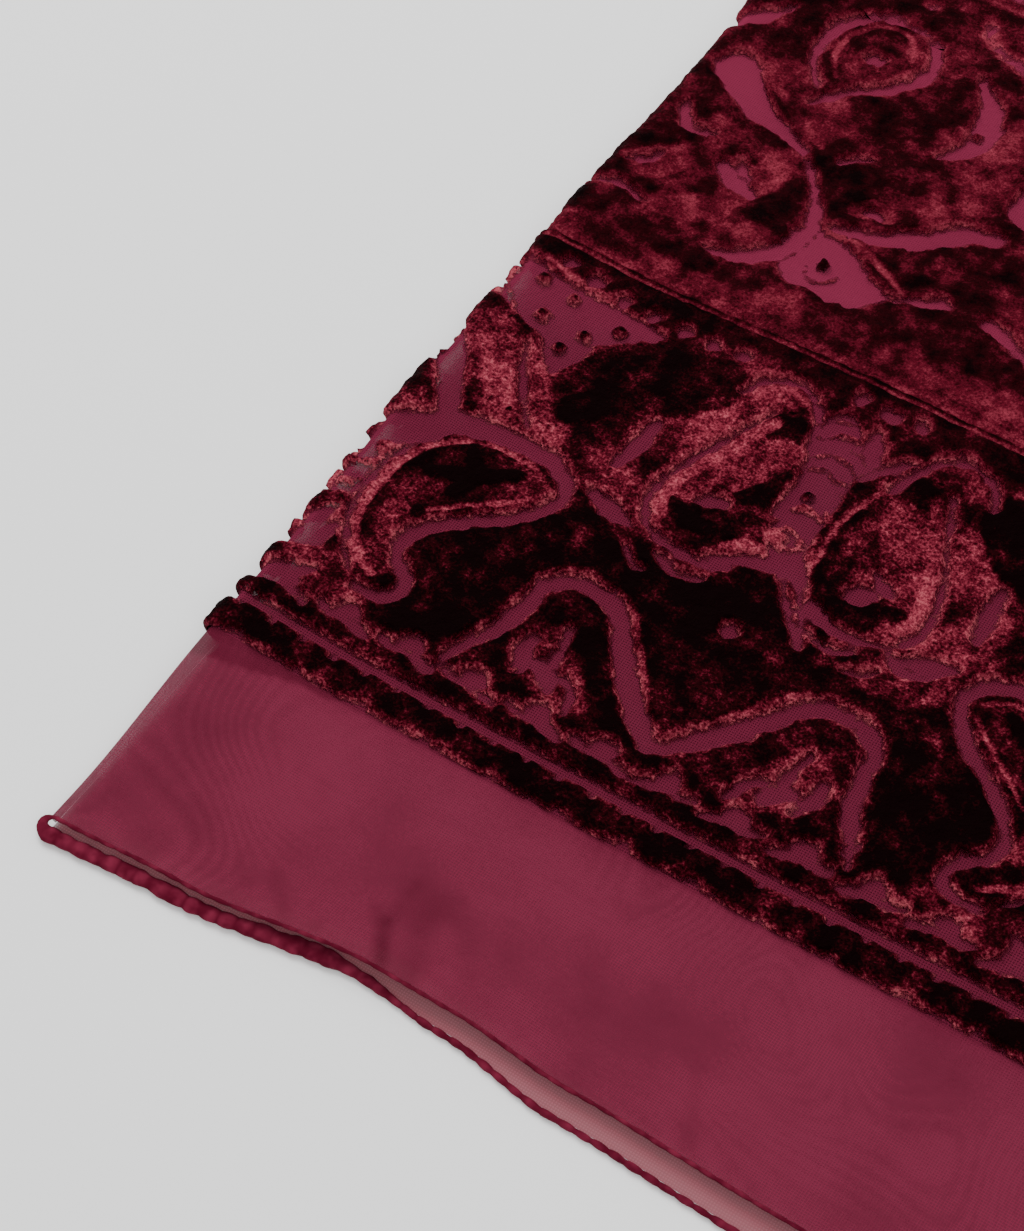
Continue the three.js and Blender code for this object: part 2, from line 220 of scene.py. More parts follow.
# The motifs of the two rows that take turns along the scarf, which are mirrored about the fold and
# again 134 mm from it. Each stroke is a kind, three widths along it, a level of painted sheen, and its
# points. A burn removes the pile and paints sheen along its edge, a pile leaves it at its own level of
# painted sheen or shade, a groove parts it with painted shade in it and painted sheen beside it, and
# the remaining kinds paint sheen that brightens the pile and shade that darkens it.
# Paired strokes are drawn twice, the second time mirrored about the middle of the 134 mm.
MIRROR = 134
TREFOILS = 12
TREFOIL_STEP = MIRROR / TREFOILS
MEANDER_PAIRED = [
    ("dark", 34, 34, 34, 0.36, [(-4, 60), (34, 60), (71, 60)]),
    ("tone", 8, 12, 8, 0.5, [(5, 106), (13, 101), (22, 95)]),
    ("tone", 4, 6, 4, 0.5, [(18.6, 106), (22, 101), (24.4, 96.6)]),
    ("tone", 5, 8, 6, 0.6, [(42, 116), (42.6, 110), (41, 103)]),
    ("tone", 8, 11, 8, 0.5, [(49.6, 92), (51.6, 102), (54, 111)]),
    ("tone", 4, 6, 4, 0.4, [(34, 99), (38, 92), (44, 85)]),
    ("tone", 5, 7, 5, 0.3, [(44, 61), (48, 57), (53, 53)]),
    ("tone", 4, 6, 4, 0.5, [(16, 50), (11, 52), (4, 55)]),
    ("dark", 8, 13, 9, 0.55, [(28, 110), (34.6, 113), (41, 117)]),
    ("dark", 2.4, 3.4, 3.4, 0.4, [(2, 128), (16, 126.8), (34, 126.4)]),
    ("dark", 3.4, 4, 3.4, 0.35, [(34, 126.4), (50, 127), (67, 127.6)]),
    ("dark", 4, 5.6, 4, 0.5, [(24.2, 100.4), (28.4, 104.6)]),
    ("dark", 6, 10, 8, 0.45, [(21, 65), (27, 70), (34, 77)]),
    ("dark", 7, 10, 8, 0.45, [(51, 79), (58, 78.4), (64, 80)]),
    ("dark", 1.6, 2.4, 1.6, 0.45, [(47, 93), (50.6, 91.4), (54.8, 91.6)]),
    ("dark", 0.8, 1.4, 0.8, 0.4, [(51, 94), (53, 96), (52, 99)]),
    ("dark", 1.4, 2.4, 1.4, 0.4, [(55, 98.4), (58.2, 102.4), (60, 106.6)]),
    ("dark", 3.2, 4.4, 3.2, 0.6, [(52.6, 113.4), (55, 115.2), (57.4, 114.6)]),
    ("dark", 3, 5, 3, 0.5, [(33, 60), (30, 55), (26, 52)]),
    ("burn", 1, 2.7, 2.6, 0.1, [(33, 50.5), (34.6, 54.5), (37.2, 59.5), (38.4, 65), (38.9, 69.6)]),
    ("burn", 2.6, 2.6, 3, 0.25, [(38.7, 69.4), (42, 72.4), (47, 72.8), (51, 71.2), (54, 67)]),
    ("burn", 3, 3.2, 2.4, 0.15, [(54, 67), (57.5, 62.5), (62, 57.6), (65.5, 54.2), (67.4, 53.5)]),
    ("tone", 0.4, 0.8, 0.4, 0.7, [(49, 74.4), (53, 72), (56.6, 67.6), (60.4, 62.8)]),
    ("burn", 1.6, 3, 1.4, 0.3, [(42.4, 61), (42.6, 58), (44, 54.6)]),
    ("burn", 0.9, 1.4, 2, 0.3, [(46.4, 64.4), (47.2, 61), (47.6, 58)]),
    ("burn", 2.4, 3.8, 2, 0.3, [(45.6, 57), (47.4, 56.4), (49, 54.4)]),
    ("burn", 1, 1.5, 0.8, 0.3, [(49.6, 57), (52, 55.6), (53.6, 51.6)]),
    ("burn", 1.4, 3.2, 1, 0.4, [(36.8, 105.6), (36.8, 101), (36, 95.4)]),
    ("burn", 1, 3.4, 1, 0.45, [(35.6, 89), (39.4, 87.4), (43.4, 86.4)]),
    ("burn", 7, 4, 2.4, 0.4,
     [(-1, 80.4), (5, 83.4), (10, 88), (15, 90.2), (21, 91), (27, 90.6), (31, 88.6)]),
    ("burn", 2.4, 2.2, 2, 0.2,
     [(31, 88.6), (32.6, 85), (31, 81), (27, 76.8), (22, 73), (18, 69), (16.2, 65), (17.2, 61.6)]),
    ("burn", 1.8, 1.8, 1.2, 0.2, [(17.2, 61.6), (20.4, 59.4), (21, 56.4), (18.6, 54.2), (14.6, 54.2)]),
    ("tone", 5, 8, 5, 0.24, [(12, 73.6), (18, 80), (27, 84)]),
    ("dark", 1, 2, 1, 0.7, [(13, 78), (18, 80.4), (25, 85)]),
    ("dark", 1, 1.6, 1, 0.6, [(17, 84.6), (19, 81), (18, 76.4)]),
    ("tone", 2.4, 3.4, 2, 0.5, [(12.6, 71), (12.8, 67), (14, 63.6)]),
    ("burn", 0.4, 0.8, 0.5, 0.3,
     [(10.4, 85.4), (6.4, 78), (5.6, 71), (6.6, 64.5), (9.4, 59.2), (12.4, 56)]),
    ("tone", 0.2, 0.6, 0.3, 0.9, [(7.2, 84), (4.6, 76.6), (4.2, 68), (6.4, 61)]),
    ("tone", 0.6, 1.1, 0.9, 1,
     [(15, 86.6), (10.8, 82.8), (8.2, 76.6), (7.5, 70), (8.5, 64), (11.4, 59.4), (16, 56.8)]),
    ("tone", 0.2, 0.5, 0.2, 0.9, [(15, 86.6), (20.4, 88), (26.4, 87.4), (29.8, 85)]),
    ("tone", 0.2, 0.5, 0.2, 0.95, [(29.4, 82.6), (25.6, 79), (20.6, 75.2), (16.4, 71.6)]),
    ("groove", 0.5, 0.8, 0.5, 0, [(15, 60.4), (15.6, 58.6), (18, 57.6)]),
    ("burn", 6, 7, 5, 0.4, [(-1, 79), (1.4, 73), (1.4, 66), (2, 60)]),
    ("burn", 3, 4, 1.6, 0.4, [(-1, 56), (4, 58), (6, 62)]),
    ("burn", 2.4, 3.4, 1.4, 0.4, [(-1, 47.6), (4, 50), (8, 53)]),
    ("pile", 2.2, 2, 0.8, -0.3, [(-3, 73), (1.6, 74), (5.4, 75.2)]),
    ("pile", 2, 3.4, 2.6, 0, [(-2, 59), (0.6, 63.8), (4.4, 66.6)]),
    ("pile", 1.2, 1.8, 1, 0.3, [(1.6, 69.4), (3.4, 70), (4.4, 71)]),
    ("burn", 2.5, 4, 5, 0.4, [(9, 89.4), (5.5, 95.5), (2, 101), (-1, 105)]),
    ("burn", 0.5, 0.9, 0.5, 0.5, [(11, 108.5), (15, 101.5), (20.5, 94.2)]),
    ("groove", 0.4, 0.6, 0.4, 0.8, [(16, 107), (19.5, 101), (23.4, 95.6)]),
    ("groove", 0.4, 0.6, 0.4, 0.8, [(6, 105.5), (9, 101), (13, 95.6)]),
    ("groove", 0.4, 0.6, 0.4, 0.8, [(8.6, 107.5), (12, 101.4), (16.4, 95.4)]),
    ("burn", 8, 12, 1.2, 0.3, [(-1, 121.2), (7, 118.4), (14, 117.6), (22, 120), (28.5, 121.4)]),
    ("burn", 8, 5, 0.8, 0.4, [(16, 114), (17, 110), (17.4, 106)]),
    ("tone", 0.5, 0.8, 0.5, 0.8, [(4, 125.6), (14, 123.6), (22, 122.9), (28.6, 122.8)]),
    ("pile", 0.9, 1, 0.7, 0.6, [(-1, 119), (3, 116.4), (6.5, 112.2)]),
    ("tone", 1.4, 2, 1.4, 0.9,
     [(46.6, 90.6), (45.2, 93.4), (45.4, 97), (47.2, 102.4), (50.4, 109.4), (53, 115)]),
    ("burn", 1.5, 0.9, 0.3, 0.7,
     [(45, 88.6), (43.3, 92.4), (43.6, 97), (45.6, 103.6), (48.8, 111), (51.2, 117)]),
    ("burn", 0.6, 1.4, 2.4, 0.4, [(44.8, 88.4), (47.6, 86.8), (51.4, 86), (56, 86), (59.8, 87.6)]),
    ("burn", 1.2, 2.4, 1.2, 0.6, [(50.4, 96), (52.2, 96.8), (54, 98)]),
    ("burn", 0.5, 1, 1.6, 0.5,
     [(45, 118), (46.4, 121.6), (50.4, 124), (54.6, 123.2), (57.8, 119.4), (60, 113.4)]),
    ("tone", 0.8, 1, 0.6, 0.9, [(47.2, 118.4), (48.8, 121), (52, 122), (55, 120.4)]),
    ("groove", 0.4, 0.6, 0.4, 0.5, [(48.8, 117.6), (50.2, 119.6), (52.6, 120), (54, 118)]),
    ("burn", 0.8, 1.2, 0.7, 0.5, [(50.6, 83.6), (54.4, 82.2), (57.8, 83.4)]),
    ("burn", 0.5, 0.8, 0.5, 0.6, [(45.4, 82.6), (47.4, 80.6), (49.6, 80)]),
]
MEANDER_SINGLE = [
    ("burn", 4, 7, 7.4, 0.3, [(69.6, 91), (66, 95), (64.6, 100), (64.6, 105), (64.6, 110)]),
    ("burn", 7.4, 8.6, 5, 0.3, [(64.6, 110), (63.4, 115), (61.6, 120)]),
    ("burn", 3, 4, 1.6, 0.3, [(66, 113), (68, 117), (67, 121.6)]),
    ("burn", 3, 3, 1.2, 0.4, [(69.4, 91), (71.6, 87.2), (73.6, 84.4), (76.4, 80.4)]),
    ("burn", 3.4, 2.2, 0.8, 0.5, [(66, 92), (61, 89.6), (56.4, 87.4)]),
    ("burn", 1, 1.2, 0.6, 0.5, [(68.4, 112.6), (71.2, 116.4), (75, 120)]),
    ("pile", 1, 1.8, 1, 0.8, [(57.6, 90), (60.4, 92.2), (64, 92.8)]),
    ("pile", 0.8, 1.6, 0.5, 0.7, [(58.4, 98.6), (60.4, 98.6), (62, 99.6)]),
    ("pile", 3.6, 4.8, 3.6, 1, [(63.6, 96.4), (65, 97), (66.4, 97.2)]),
    ("burn", 0.3, 0.5, 0.3, 1, [(64, 97.8), (65.2, 98), (66, 96.8), (65, 96)]),
    ("pile", 0.8, 1.8, 0.7, 0.8, [(62.8, 102.4), (65.2, 103.6), (68, 102.6)]),
    ("pile", 0.7, 1.2, 0.5, 0.7, [(67.6, 104.6), (68.6, 103), (68.4, 101.4)]),
    ("pile", 2, 2.4, 1.8, -0.9, [(63.4, 105.4), (64, 105.9)]),
    ("pile", 0.3, 0.8, 0.4, 0.5, [(60.8, 113.3), (63.4, 114.8), (66.4, 114.4), (68.2, 112.4)]),
    ("pile", 0.3, 0.6, 0.3, 0.3, [(61.4, 110.8), (63.6, 111.8), (65.6, 110.8), (67.2, 111.4)]),
    ("pile", 0.3, 0.9, 0.4, 0.5, [(59.2, 116.6), (61, 117.4), (62.4, 118.9), (66.1, 119.2)]),
    ("pile", 0.4, 1, 0.5, 0.4, [(58, 119), (60.8, 121.2), (65.6, 122.4)]),
    ("pile", 0.3, 0.7, 0.3, 0.6, [(64.2, 116.8), (66.4, 117), (68.6, 115.4)]),
    ("tone", 0.5, 0.8, 0.5, 0.9,
     [(77.8, 82), (73.8, 87.4), (71.4, 92.4), (71.2, 97), (70.6, 102.6), (71.6, 108), (73.4, 113)]),
    ("dark", 0.5, 0.8, 0.5, 0.5,
     [(79, 82.6), (75, 88), (72.6, 93), (72.4, 97), (71.8, 102), (72.8, 107)]),
    ("pile", 0.8, 1.4, 0.8, 0.7, [(69.4, 90), (70.8, 88.2), (72.2, 86.8)]),
    ("pile", 0.6, 1, 0.6, 0.7, [(73, 85.4), (74.2, 83.8)]),
    ("burn", 2, 2.2, 2, 0.5, [(66.1, 77.6), (66.4, 77.2)]),
    ("dark", 2, 3, 2, 0.4, [(76, 88.8), (79, 87.8), (83, 89.4)]),
    ("tone", 4, 5, 4, 0.15, [(75, 104), (78, 100), (82, 98)]),
    ("burn", 2.4, 4, 2.6, 0.5, [(78.4, 92.8), (79.6, 93.6), (80.8, 94.4)]),
    ("burn", 1, 2.2, 1, 0.5, [(88, 86.6), (91, 84.6), (95, 85.4)]),
]
FLORAL_PAIRED = [
    ("tone", 6, 8, 6, 0.35, [(0, 135.6), (34, 135.6), (67, 135.6)]),
    ("tone", 4, 5, 4, 0.6, [(13, 146.4), (17, 148), (21, 151)]),
    ("tone", 5, 7, 5, 0.45, [(6, 152), (10, 160), (13, 168)]),
    ("tone", 4, 5, 4, 0.45, [(21, 154), (24, 162), (24, 168)]),
    ("tone", 6, 8, 6, 0.5, [(14, 184), (22, 182), (28, 178)]),
    ("tone", 6, 8, 6, 0.35, [(46, 168), (54, 174), (60, 182)]),
    ("dark", 4, 6, 4, 0.5, [(1, 139.4), (4, 141.2)]),
    ("dark", 3, 4, 3, 0.4, [(10, 139.6), (18, 139.2), (26, 138.6)]),
    ("dark", 2, 3.4, 2, 0.35, [(25.6, 150.4), (27.6, 153.4), (30.6, 158)]),
    ("dark", 3, 5, 3, 0.35, [(3, 157), (7, 163), (5, 167)]),
    ("dark", 4, 5, 4, 0.35, [(6, 170), (10, 173), (15, 171)]),
    ("dark", 3, 5, 3, 0.3, [(38, 170), (42, 173), (47, 173)]),
    ("dark", 3, 5, 3, 0.3, [(30, 187), (37, 184), (43, 187)]),
    ("dark", 3, 4, 3, 0.25, [(56, 154), (58, 158), (60, 163)]),
    ("burn", 0.6, 1.3, 0.6, 0.4, [(0.6, 145.6), (5.6, 146.4), (10.6, 145.4)]),
    ("tone", 3, 4.4, 3, 0.6, [(27.4, 148.6), (30.4, 149.4)]),
    ("burn", 0.4, 3.2, 3.6, 0.3, [(23.9, 142.6), (28.8, 143.6), (32.8, 146.4), (35.4, 150.6)]),
    ("burn", 3.6, 2.6, 1.4, 0.3, [(35.4, 150.6), (35.8, 155.6), (34.4, 160), (31.4, 164.6)]),
    ("burn", 1.4, 1, 0.4, 0.5, [(31.4, 164.6), (29.6, 167.4), (27.4, 169.6)]),
    ("burn", 8, 4.4, 1, 0.4, [(7, 181), (14, 175.2), (20.4, 173.2), (26, 171)]),
    ("burn", 1, 5, 8, 0.2, [(37.6, 156), (39, 151.6), (40.6, 147.6)]),
    ("burn", 7.6, 8.6, 2.6, 0.2, [(39.4, 146.8), (46, 147.4), (53, 147.6)]),
    ("burn", 4, 5.4, 3.6, 0.2, [(42, 145.2), (46.8, 145), (50.6, 145)]),
    ("burn", 1, 4.6, 4, 0.2, [(38.6, 155.4), (43.4, 152.8), (47.4, 150.2)]),
    ("burn", 1, 1.8, 2.6, 0.3, [(53.6, 147.8), (57.4, 149.6), (63, 152)]),
    ("pile", 0.4, 0.7, 0.4, 0.1, [(37.4, 157), (36.9, 151), (34.4, 145), (34.6, 142)]),
    ("pile", 0.3, 0.6, 0.3, 0, [(51, 142.4), (51.9, 145), (54.6, 148.4)]),
    ("tone", 0.5, 1, 0.5, 0.9, [(39, 157.2), (44, 156.4), (49.2, 154), (55.8, 150.2)]),
    ("pile", 0.3, 0.9, 0.4, 0.5,
     [(39.5, 148.2), (40.2, 146.4), (42.8, 145.6), (44.9, 147.4), (45, 149.6)]),
    ("burn", 0.3, 0.4, 0.3, 0.6, [(40.4, 147.4), (42.8, 146.4), (44.4, 148.2)]),
    ("pile", 1.8, 2.2, 1.8, -0.9, [(41.8, 149.4), (42.2, 149.6)]),
    ("burn", 0.5, 3, 4.2, 0.3, [(38.4, 158), (43.4, 158.8), (48.6, 160.4), (54, 164)]),
    ("burn", 4.2, 4, 3, 0.3, [(54, 164), (58, 168), (63, 170)]),
    ("pile", 3.4, 4.4, 3, 0.7, [(40.6, 163.2), (43, 164.6), (45.6, 164.4)]),
    ("burn", 0.8, 1.6, 0.8, 0.6, [(41.8, 163.8), (43.4, 164.4), (44.6, 163.8)]),
    ("burn", 2.2, 4, 1, 0.5, [(16.4, 160.6), (19.4, 159), (24, 156.8)]),
    ("burn", 0.6, 1.8, 0.8, 0.5, [(18.4, 162.8), (20.2, 161), (22, 160.4)]),
    ("burn", 1, 1.4, 0.8, 0.5, [(32.4, 172), (34.6, 173.8), (36.6, 175.2)]),
    ("burn", 1.4, 2, 1, 0.4, [(4, 168), (7, 164.4), (11, 165)]),
    ("burn", 0.8, 1.6, 0.8, 0.5, [(3, 152.4), (6, 153.8), (6.6, 156.6)]),
    ("tone", 1, 1.8, 0.8, 0.8, [(16, 180.6), (21.4, 176.6), (28, 173)]),
    ("burn", 0.8, 2, 1, 0.5, [(20, 186), (16.4, 192), (16.6, 200), (21, 206.4), (27, 208.4)]),
    ("burn", 1, 2.6, 1.2, 0.4,
     [(27, 208.4), (33.4, 205.2), (35, 198.2), (31, 191.6), (25, 187), (21.4, 182)]),
    ("tone", 0.5, 0.8, 0.5, 0.9,
     [(22, 189), (19.4, 194), (19.8, 200), (23.4, 204.6), (28.6, 204.6), (31.4, 199.4)]),
    ("burn", 2, 2.8, 2, 0.5, [(25, 196.8), (26.4, 197.6)]),
    ("tone", 5, 8, 5, 0.4, [(46, 186), (56, 192), (60, 200)]),
    ("burn", 1.6, 5, 1.2, 0.4, [(46, 182), (50, 188), (48.6, 196), (44, 202)]),
    ("pile", 2, 2.2, 2, 0.1, [(48.8, 189.6), (49.2, 189.8)]),
    ("burn", 7, 6.4, 3, 0.4, [(64.8, 178), (65, 188), (66, 200)]),
    ("pile", 4.4, 5, 4.4, 0.4, [(64.8, 186), (65.4, 186.4)]),
    ("burn", 1.6, 2, 1.6, 0.4, [(64.8, 186), (65.4, 186.4)]),
    ("burn", 2.4, 3, 1, 0.4, [(-1, 190), (4, 194), (8, 200)]),
    ("burn", 2.4, 3, 1, 0.4, [(-1, 203), (5, 205), (9, 210)]),
    ("burn", 1, 1.6, 1, 0.5, [(40, 212), (50, 208.6), (60, 211.4)]),
]

# Small motifs in a row: tufts left along the fold, trefoils, dots of bare crepe and rosettes
FOLD_TUFTS = [57, 62.6, 68, 73.4, 79.6, 85, 91.6, 97.4, 103, 108, 113.6, 119, 123.4]
for y in FOLD_TUFTS:
    tuft = [(-1.6, y - 0.6), (-0.2, y + 1.2), (0.9, y + 3.2)]
    MEANDER_PAIRED += [("pile", 1.2, 2, 0.9, 0.1, tuft)]
for k in range(TREFOILS // 2):
    x = TREFOIL_STEP * (k + 0.5)
    leaves = [(x - 4.6, 48.9), (x - 2.6, 48.3), (x, 48.6), (x + 2.6, 48), (x + 4.7, 47.4)]
    MEANDER_PAIRED += [
        ("burn", 1, 1.9, 1.3, 0.25, leaves),
        ("burn", 1.6, 3, 1.8, 0.25, [(x - 1.2, 49.4), (x + 0.2, 50), (x + 1.4, 49.6)]),
    ]
    FLORAL_PAIRED += [("burn", 2, 2.4, 2, 0.5, [(x - 0.2, 214.6), (x + 0.2, 214.6)])]
for k in range(TREFOILS):
    x = TREFOIL_STEP * (k + 0.5) / 2
    MEANDER_PAIRED += [
        ("burn", 0.9, 1.1, 0.7, 0.3, [(x, 42.6), (x + 0.3, 41.8)]),
        ("tone", 0.3, 0.5, 0.3, 0.6, [(x + 2.6, 40.3), (x + 2.9, 40.1)]),
    ]
BARE_DOTS = [
    (7.5, 127), (13.4, 126), (19.2, 125), (25, 124.6), (31, 124.4),
    (36.2, 124.4), (41.4, 124.6), (61.7, 126.6), (66.6, 126.2),
]
for x, y in BARE_DOTS:
    MEANDER_PAIRED += [("burn", 2, 2.3, 2, 0.1, [(x - 0.2, y), (x + 0.2, y)])]
ROSETTES = [(6, 121.6), (12.4, 120.6), (22, 119), (9.6, 115), (17.6, 115), (15.6, 110.8)]
for x, y in ROSETTES:
    MEANDER_PAIRED += [
        ("pile", 2.3, 2.6, 2.3, 0.3, [(x - 0.1, y), (x + 0.1, y)]),
        ("groove", 0.6, 0.7, 0.6, 0.3, [(x - 0.1, y), (x + 0.1, y)]),
    ]
TILE_STEP = 0.2
TILE_MARGIN = 2.5
CURVE_STEP = 0.3


# A smooth curve through a stroke's points: places, and how far along each is from 0 to 1
def stroke_places(points):
    p = np.array([points[0], *points, points[-1]], float)
    places = []
    for i in range(1, len(p) - 2):
        count = max(2, int(np.hypot(*(p[i + 1] - p[i])) / CURVE_STEP))
        for t in np.arange(count) / count:
            a = p[i]
            b = (p[i + 1] - p[i - 1]) / 2
            c = p[i - 1] - 2.5 * p[i] + 2 * p[i + 1] - p[i + 2] / 2
            d = (p[i + 2] - p[i - 1]) / 2 + 1.5 * (p[i] - p[i + 1])
            places.append(a + b * t + c * t * t + d * t**3)
    places.append(p[-1])
    return np.array(places), np.linspace(0, 1, len(places))


# Brings the painted sheen of pile that is darker than a given level nearer to that level
def lighten(bright, tone, share):
    return bright + share * np.maximum(tone - bright, 0)


# Draws one row of motifs: how far inside the pile each place is, and how bright its pile is, which is
# painted sheen where the value is positive and painted shade where it is negative
def draw_row(paired, single, low, high):
    strokes = []
    for stroke in paired:
        mirrored = [(MIRROR - x, y) for x, y in stroke[-1]]
        strokes += [stroke, (*stroke[:-1], mirrored)]
    strokes += single
    across = np.arange(0, MIRROR + TILE_STEP, TILE_STEP)
    along = np.arange(low, high + TILE_STEP, TILE_STEP)
    inside = np.full((len(across), len(along)), TILE_MARGIN)
    bright = np.zeros_like(inside)
    for kind, first, mid, last, tone, points in strokes:
        places, onward = stroke_places(points)
        widths = np.interp(onward, [0, 0.5, 1], [first, mid, last])
        for (x, y), radius in zip(places, widths / 2):
            reach = radius + TILE_MARGIN
            i = slice(*np.searchsorted(across, [x - reach, x + reach]))
            j = slice(*np.searchsorted(along, [y - reach, y + reach]))
            gap = np.hypot(across[i, None] - x, along[None, j] - y) - radius
            if kind == "burn":
                inside[i, j] = np.minimum(inside[i, j], gap)
                share = 0.8 * (1 - ease(gap, 0.2, 1.1))
                bright[i, j] = lighten(bright[i, j], tone, share)
            elif kind == "groove":
                share = 1 - ease(gap, 0.3, 1.2)
                bright[i, j] = lighten(bright[i, j], tone, share)
                bright[i, j] = mix(bright[i, j], -1, 1 - ease(gap, -0.1, 0.3))
                inside[i, j] = np.minimum(inside[i, j], np.maximum(gap, 0) + 1)
            elif kind == "pile":
                inside[i, j] = np.maximum(inside[i, j], -gap)
                bright[i, j] = np.where(gap < 0.2, tone, bright[i, j])
            elif kind == "dark":
                share = ease(-gap, -1, min(radius, 1.4))
                bright[i, j] = mix(bright[i, j], np.minimum(bright[i, j], -tone), share)
            else:
                sheen_end = min(0.45 + 0.4 * radius, TILE_MARGIN)
                share = 1 - ease(gap, -0.6 * radius, sheen_end)
                bright[i, j] = lighten(bright[i, j], tone, share)
    return inside, bright


meander_tile = draw_row(MEANDER_PAIRED, MEANDER_SINGLE, SHEER_DEPTH, ROW_LINE)
floral_tile = draw_row(FLORAL_PAIRED, [], ROW_LINE, ROW_LINE + ROW_PITCH)


# A tile's values at places between its points
def read_tile(tile, across, along, low):
    u = np.clip(across / TILE_STEP, 0, tile.shape[0] - 1.001)
    v = np.clip((along - low) / TILE_STEP, 0, tile.shape[1] - 1.001)
    i = u.astype(int)
    j = v.astype(int)
    start = mix(tile[i, j], tile[i + 1, j], u - i)
    stop = mix(tile[i, j + 1], tile[i + 1, j + 1], u - i)
    return mix(start, stop, v - j)


BORDER_TO = ROW_LINE - 20
LINE_HALF_WIDTH = 0.8
DOUBLE_LINE_GAP = 0.7
# Painted sheen past each row line, painted shade beside the border line and how far it reaches on each
# side, and the painted sheen of the fringe
LINE_SHEEN = 0.6
BESIDE_LINE_SHADE = -0.35
DARK_INSIDE = 3.2
DARK_OUTSIDE = 5.2
FRINGE_SHEEN = 0.6


# How far inside the pile a place on the cut is, in millimetres, and how bright its pile is: painted
# sheen where that value is positive and painted shade where it is negative
def pile_pattern(across, along):
    from_end = np.minimum(along, CUT_LENGTH - along)
    folded = np.abs((across + MIRROR) % (2 * MIRROR) - MIRROR)
    row = np.floor((from_end - ROW_LINE) / ROW_PITCH)
    up_row = from_end - ROW_LINE - row * ROW_PITCH
    squeeze = (ROW_LINE - BORDER_LINE) / ROW_PITCH
    meander_along = np.where(row < 0, from_end, BORDER_LINE + up_row * squeeze)
    floral_along = ROW_LINE + up_row
    is_floral = row % 2 == 0
    result = []
    for meander, floral in zip(meander_tile, floral_tile):
        in_meander = read_tile(meander, folded, meander_along, SHEER_DEPTH)
        in_floral = read_tile(floral, folded, floral_along, ROW_LINE)
        result.append(np.where(is_floral, in_floral, in_meander))
    inside, bright = result

    # The bare line along the border, with painted shade on the pile beside it, and between rows a
    # painted sheen just past each row line
    is_border = from_end < BORDER_TO
    past_line = (from_end - ROW_LINE + ROW_PITCH / 2) % ROW_PITCH - ROW_PITCH / 2
    past_line = np.where(is_border, from_end - BORDER_LINE, past_line)
    off_line = np.abs(past_line)
    inside = np.where(is_border, np.minimum(inside, off_line - LINE_HALF_WIDTH), inside)
    share = np.where(is_border, 0, 1 - ease(np.abs(past_line - 1.6), 0.6, 1.6))
    bright = lighten(bright, LINE_SHEEN, share)
    reach = np.where(past_line < 0, DARK_OUTSIDE, DARK_INSIDE)
    beside_line = ease(off_line, 0.7, 1.4) * (1 - ease(off_line, reach, reach + 1.8))
    darker = mix(bright, np.minimum(bright, BESIDE_LINE_SHADE), beside_line)
    bright = np.where(is_border, darker, bright)

    # The double line between two rows: a ridge of painted sheen between two grooves of painted shade
    ridge = 1 - ease(off_line, 0.2, 0.5)
    groove = 1 - ease(np.abs(off_line - DOUBLE_LINE_GAP), 0.1, 0.34)
    double = np.maximum(mix(bright, 0.8, ridge), bright)
    double = mix(double, -0.5, groove)
    bright = np.where(is_border, bright, double)

    # The fringe of painted sheen where the pile stops at the sheer border
    inside = np.minimum(inside, from_end - SHEER_DEPTH)
    fringe_sheen = 1 - ease(from_end - SHEER_DEPTH, 0.5, 1.3)
    fringe_sheen = fringe_sheen * ease(smooth_noise(across, along, 11, 7), 0, 0.5)
    fringe_sheen = fringe_sheen * (1 - 0.7 * ease(across, 34, 50))
    bright = lighten(bright, FRINGE_SHEEN, fringe_sheen)

    # The pile's uneven edges, and the mottle of its painted sheen and shade
    edge = 0.26 * smooth_noise(across, along, 0.9, 1)
    edge = edge + 0.36 * smooth_noise(across, along, 2.2, 2)
    edge = edge * np.where(is_border & (off_line < 2 * LINE_HALF_WIDTH), 0.3, 1)
    inside = inside + 0.6 * edge * ease(np.abs(inside), 0.1, 0.6) + 0.8 * edge
    patch = smooth_noise(across, along, 5, 3) + 0.7 * smooth_noise(across, along, 2.3, 4)
    blotch = smooth_noise(across + 0.4 * along, along, 3.6, 8)
    blotch = blotch + 0.7 * smooth_noise(across, along, 1.7, 9)
    past_border = ease(from_end, ROW_LINE - 4, ROW_LINE + 8)
    bright = bright * (0.9 + 0.25 * patch) + 0.12 * patch + 0.27 * blotch * past_border
    return inside, np.clip(bright, -1, 1)


